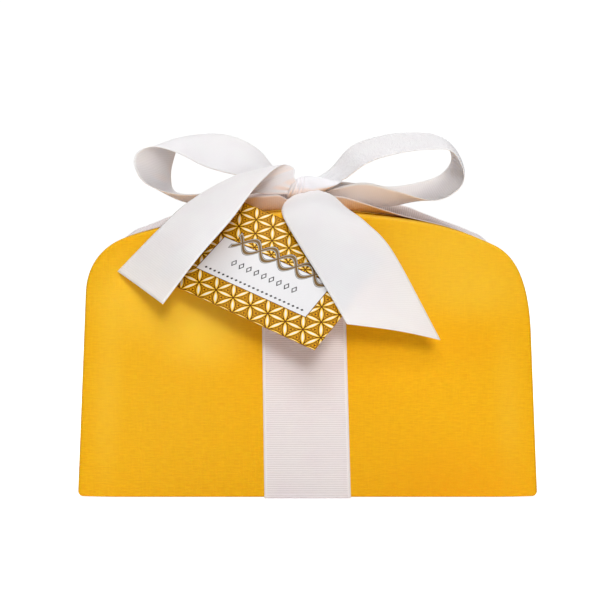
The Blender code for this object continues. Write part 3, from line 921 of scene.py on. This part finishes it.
def smooth_guide(guide, spacing=0.0022):
    # Monotone curve through the guide, so that straight runs stay straight and no corner overshoots.
    values = np.array(guide)
    steps = np.hypot(np.diff(values[:, 0]), np.diff(values[:, 1]))
    way = np.concatenate(([0.0], np.cumsum(steps)))
    slopes = np.diff(values, axis=0) / np.diff(way)[:, None]
    tangents = np.zeros_like(values)
    tangents[0] = slopes[0]
    tangents[-1] = slopes[-1]
    for k in range(1, len(values) - 1):
        a = slopes[k - 1]
        b = slopes[k]
        same = a * b > 0.0
        total = np.where(same, a + b, 1.0)
        tangents[k] = np.where(same, 2.0 * a * b / total, 0.0)
    fine = []
    for k in range(len(values) - 1):
        length = way[k + 1] - way[k]
        parts = max(1, int(math.ceil(length / spacing)))
        for i in range(parts):
            t = i / parts
            place = values[k] * (1 + 2 * t) * (1 - t) ** 2 + values[k + 1] * t * t * (3 - 2 * t)
            bend = tangents[k] * t * (1 - t) ** 2 - tangents[k + 1] * t * t * (1 - t)
            fine.append(place + bend * length)
    fine.append(values[-1])
    return fine


def band_grid(kinds, low, across=28):
    # One band of ribbon from the knot, down one side, under the base and up the other side.
    ways = {
        "front": (Vector((0.0, -1.0, 0.0)), Vector((1.0, 0.0, 0.0))),
        "back": (Vector((0.0, 1.0, 0.0)), Vector((1.0, 0.0, 0.0))),
        "left": (Vector((-1.0, 0.0, 0.0)), Vector((0.0, -1.0, 0.0))),
        "right": (Vector((1.0, 0.0, 0.0)), Vector((0.0, -1.0, 0.0))),
    }
    grid = []
    for kind in kinds:
        out, wide = ways[kind]
        guide = side_arm(kind, low) if kind in ("left", "right") else panel_arm(kind, low)
        rows = []
        for reach, height, half_width, drift, front_rise, back_rise in smooth_guide(guide):
            row = []
            for j in range(across + 1):
                v = -1.0 + 2.0 * j / across
                place = out * reach + wide * (half_width * v + drift)
                behind = place.y > 0.0 if kind in ("left", "right") else v > 0.0
                place.z = height + (back_rise if behind else front_rise) * v * v
                row.append(place)
            if in_knot(row[across // 2], BAND_STOP):
                break
            rows.append(row)
        if kind == kinds[0]:
            rows.reverse()
        grid += rows
    lengths = [0.0]
    for one, two in zip(grid, grid[1:]):
        lengths.append(lengths[-1] + (two[across // 2] - one[across // 2]).length)
    return grid, lengths


def knot_ring(s, around):
    # One turn round the knot; s runs from -1 at its creased left end to 1 at its smooth right end.
    left = max(0.0, -s)
    right = max(0.0, s)
    tight = min(1.0, max(0.0, (left - 0.10) / 0.40))
    swell = math.sqrt(max(0.0, 1.0 - left ** 3.2))
    if s < 0.0:
        centre = Vector((KNOT_LEFT_REACH * s, 0.0, 0.0))
    else:
        centre = Vector((KNOT_END.x * s, KNOT_END.y * s ** 2.2, KNOT_END.z * s ** 2.2))
    blend = right * right * (3.0 - 2.0 * right)
    deep = Vector((0.0, KNOT_RADII.y, 0.0)).lerp(KNOT_END_DEEP, blend)
    thick = Vector((0.0, 0.0, KNOT_RADII.z)).lerp(KNOT_END_THICK, blend)
    ring = []
    for j in range(around):
        a = 2.0 * math.pi * j / around
        broad = math.sin(2050.0 * centre.x + 0.9 * math.sin(a) + 0.6)
        narrow = math.sin(3300.0 * centre.x - 1.4 * math.sin(a))
        crease = CREASE_DEPTH * tight * (broad + 0.5 * narrow) * (0.65 - 0.35 * math.cos(a))
        drape = DRAPE_DEPTH * math.sin(900.0 * centre.x + 1.3 * a) * (1.0 - left * left) * (1.0 - right)
        spot = Vector((centre.x * 180.0, math.cos(a) * 1.5, math.sin(a) * 1.5))
        rough = ROUGH_DEPTH * noise.noise(spot) * (1.0 - right)
        r = swell * (1.0 + crease + drape + rough)
        low = 0.5 - 0.5 * math.sin(a)
        p = centre + deep * (r * math.cos(a)) + thick * (r * math.sin(a) * (1.0 + 0.35 * left * low))
        ring.append(p + Vector((KNOT_LEFT_SLANT * left * p.z, 0.0, 0.0)))
    return ring


def build_knot(around=120, along=100):
    # A gathered turn of ribbon, closed to a point at both ends.
    bm = bmesh.new()
    uv = bm.loops.layers.uv.new("UVMap")
    rows = []
    for i in range(along + 1):
        ring = knot_ring(-1.0 + 2.0 * i / along, around)
        if i in (0, along):
            ring = [sum(ring, Vector()) / around]
        rows.append([bm.verts.new(KNOT_CENTRE + p) for p in ring])
    for one, two in zip(rows, rows[1:]):
        for j in range(around):
            n = (j + 1) % around
            if len(one) == 1:
                corners = ((one[0], j), (two[j], j), (two[n], j + 1))
            elif len(two) == 1:
                corners = ((one[j], j), (two[0], j), (one[n], j + 1))
            else:
                corners = ((one[j], j), (two[j], j), (two[n], j + 1), (one[n], j + 1))
            face = bm.faces.new([vert for vert, _ in corners])
            for loop, (vert, turn) in zip(face.loops, corners):
                loop[uv].uv = ((vert.co.x - KNOT_CENTRE.x) * KNOT_STRETCH, KNOT_GIRTH * turn / around)
    bmesh.ops.recalc_face_normals(bm, faces=bm.faces[:])
    mesh = bpy.data.meshes.new("knot")
    bm.to_mesh(mesh)
    bm.free()
    mesh.shade_smooth()
    return show("knot", mesh, [BOW], "white_grosgrain", "bow_knot")


def build_tag(cells_x=44, cells_y=32):
    # A thin flat card with the print on its front face only.
    bm = bmesh.new()
    uv = bm.loops.layers.uv.new("UVMap")
    sheets = []
    for side in (1.0, -1.0):
        rows = []
        for j in range(cells_y + 1):
            row = []
            for i in range(cells_x + 1):
                x = TAG_LENGTH * (i / cells_x - 0.5)
                y = TAG_HEIGHT * (j / cells_y - 0.5)
                row.append(bm.verts.new((x, y, side * TAG_THICKNESS / 2.0)))
            rows.append(row)
        sheets.append(rows)
        for j in range(cells_y):
            for i in range(cells_x):
                corners = [rows[j][i], rows[j][i + 1], rows[j + 1][i + 1], rows[j + 1][i]]
                if side < 0.0:
                    corners.reverse()
                face = bm.faces.new(corners)
                face.material_index = 0 if side > 0.0 else 1
                for loop in face.loops:
                    loop[uv].uv = (loop.vert.co.x + TAG_PRINT_SHIFT, loop.vert.co.y)
    rim = [(0, i) for i in range(cells_x)] + [(j, cells_x) for j in range(cells_y)]
    rim += [(cells_y, i) for i in range(cells_x, 0, -1)] + [(j, 0) for j in range(cells_y, 0, -1)]
    for k, (j, i) in enumerate(rim):
        next_j, next_i = rim[(k + 1) % len(rim)]
        near = (sheets[0][j][i], sheets[1][j][i])
        far = (sheets[1][next_j][next_i], sheets[0][next_j][next_i])
        face = bm.faces.new(near + far)
        face.material_index = 2
    bmesh.ops.recalc_face_normals(bm, faces=bm.faces[:])
    lean = Matrix.Rotation(math.pi / 2.0 - TAG_LEAN, 4, "X")
    turn = Matrix.Rotation(-TAG_TURN, 4, "Z")
    bm.transform(Matrix.Translation(TAG_CENTRE) @ lean @ turn)
    mesh = bpy.data.meshes.new("printed_tag")
    bm.to_mesh(mesh)
    bm.free()
    return show("printed_tag", mesh, [TAG_FACE, TAG_BACK, TAG_EDGE_SHADE], "tag_card", "tag")


build_box()
band_one, ways_one = band_grid(("back", "front"), LOWER_BAND_HEIGHT)
band_two, ways_two = band_grid(("left", "right"), UPPER_BAND_HEIGHT)
front_band = ribbon_solid("band_front_to_back", band_one, ways_one, BAND, BAND_THICKNESS, "ribbon_wrap")
side_band = ribbon_solid("band_left_to_right", band_two, ways_two, BAND, BAND_THICKNESS)
knot = build_knot()
for name, stations, pleats, seed, both, node in (
        ("loop_right", RIGHT_LOOP, 3.5, 1.0, True, "bow_loop_right"),
        ("loop_left", LEFT_LOOP, 3.0, 2.0, True, "bow_loop_left"),
        ("tail_left", LEFT_TAIL, 2.5, 3.0, False, "bow_tail_left"),
        ("tail_right", RIGHT_TAIL, 2.5, 4.0, False, "bow_tail_right")):
    points, lengths = strip_grid(stations, pleats, seed, both_ends=both)
    ribbon_solid(name, points, lengths, BOW, BOW_THICKNESS, node)
build_tag()


# Studio: a pale floor, white surroundings, three lights from the front and one from above and behind

def pale_floor():
    # White to the camera, and only a little light for everything else.
    n = Nodes("pale_floor", roughness=0.9, specular=0.0)
    n.shader.inputs["Emission Color"].default_value = WHITE
    seen_white = n.node("ShaderNodeLightPath").outputs["Is Camera Ray"]
    n.put(n.math("MULTIPLY_ADD", seen_white, FLOOR_SEEN, FLOOR_LIGHT), n.shader.inputs["Emission Strength"])
    grain = n.noise(n.object_place(), scale=40.0)
    return n.finish(n.mix(grain, (0.90, 0.90, 0.90), (0.92, 0.92, 0.92)))


def build_floor(half_width=6.0, front=-3.0, back=12.0):
    corners = [(-half_width, front, 0), (half_width, front, 0)]
    corners += [(half_width, back, 0), (-half_width, back, 0)]
    mesh = bpy.data.meshes.new("studio_floor")
    mesh.from_pydata(corners, [], [(0, 1, 2, 3)])
    mesh.materials.append(pale_floor())
    floor = bpy.data.objects.new("studio_floor", mesh)
    bpy.context.scene.collection.objects.link(floor)
    floor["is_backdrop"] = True


def background(tree, strength):
    made = tree.nodes.new("ShaderNodeBackground")
    made.inputs["Color"].default_value = WHITE
    made.inputs["Strength"].default_value = strength
    return made.outputs[0]


def build_world():
    # Bright to the camera, dim as a light.
    world = bpy.data.worlds.new("studio")
    bpy.context.scene.world = world
    world.use_nodes = True
    tree = world.node_tree
    tree.nodes.clear()
    mixed = tree.nodes.new("ShaderNodeMixShader")
    seen_by_camera = tree.nodes.new("ShaderNodeLightPath").outputs["Is Camera Ray"]
    tree.links.new(seen_by_camera, mixed.inputs[0])
    tree.links.new(background(tree, WORLD_LIGHT), mixed.inputs[1])
    tree.links.new(background(tree, WORLD_SEEN), mixed.inputs[2])
    tree.links.new(mixed.outputs[0], tree.nodes.new("ShaderNodeOutputWorld").inputs["Surface"])


def soft_light(name, azimuth, elevation, distance, width, height, watts):
    # Azimuth 0 shines along +Y, and a positive one comes from the right.
    data = bpy.data.lights.new(name, "AREA")
    data.shape = "RECTANGLE"
    data.size = width
    data.size_y = height
    data.energy = watts
    a = math.radians(azimuth)
    e = math.radians(elevation)
    back = Vector((math.sin(a) * math.cos(e), -math.cos(a) * math.cos(e), math.sin(e)))
    light = bpy.data.objects.new(name, data)
    light.location = LIGHTS_AIM + back * distance
    light.rotation_mode = "QUATERNION"
    light.rotation_quaternion = (-back).to_track_quat("-Z", "Y")
    bpy.context.scene.collection.objects.link(light)


def build_camera():
    data = bpy.data.cameras.new("camera")
    data.lens = CAMERA_LENS
    data.sensor_width = CAMERA_SENSOR
    data.shift_x = PHOTO_SHIFT / PHOTO_WIDTH
    camera = bpy.data.objects.new("camera", data)
    camera.location = CAMERA_PLACE
    camera.rotation_euler = (math.pi / 2.0 - CAMERA_PITCH, 0.0, 0.0)
    bpy.context.scene.collection.objects.link(camera)
    bpy.context.scene.camera = camera


build_floor()
build_world()
soft_light("key", azimuth=3.7, elevation=19.0, distance=2.4, width=0.42, height=0.42, watts=21.8)
soft_light("high", azimuth=-4.0, elevation=36.0, distance=2.0, width=0.80, height=0.80, watts=8.6)
soft_light("low", azimuth=0.0, elevation=-2.0, distance=1.3, width=1.0, height=0.10, watts=0.9)
soft_light("top", azimuth=180.0, elevation=74.0, distance=1.6, width=0.9, height=0.9, watts=16.5)
build_camera()
bpy.context.scene.view_settings.view_transform = "Standard"

both = {"cad": [list(p) for p in CAD_BOUNDS], "visual": [list(p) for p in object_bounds()]}
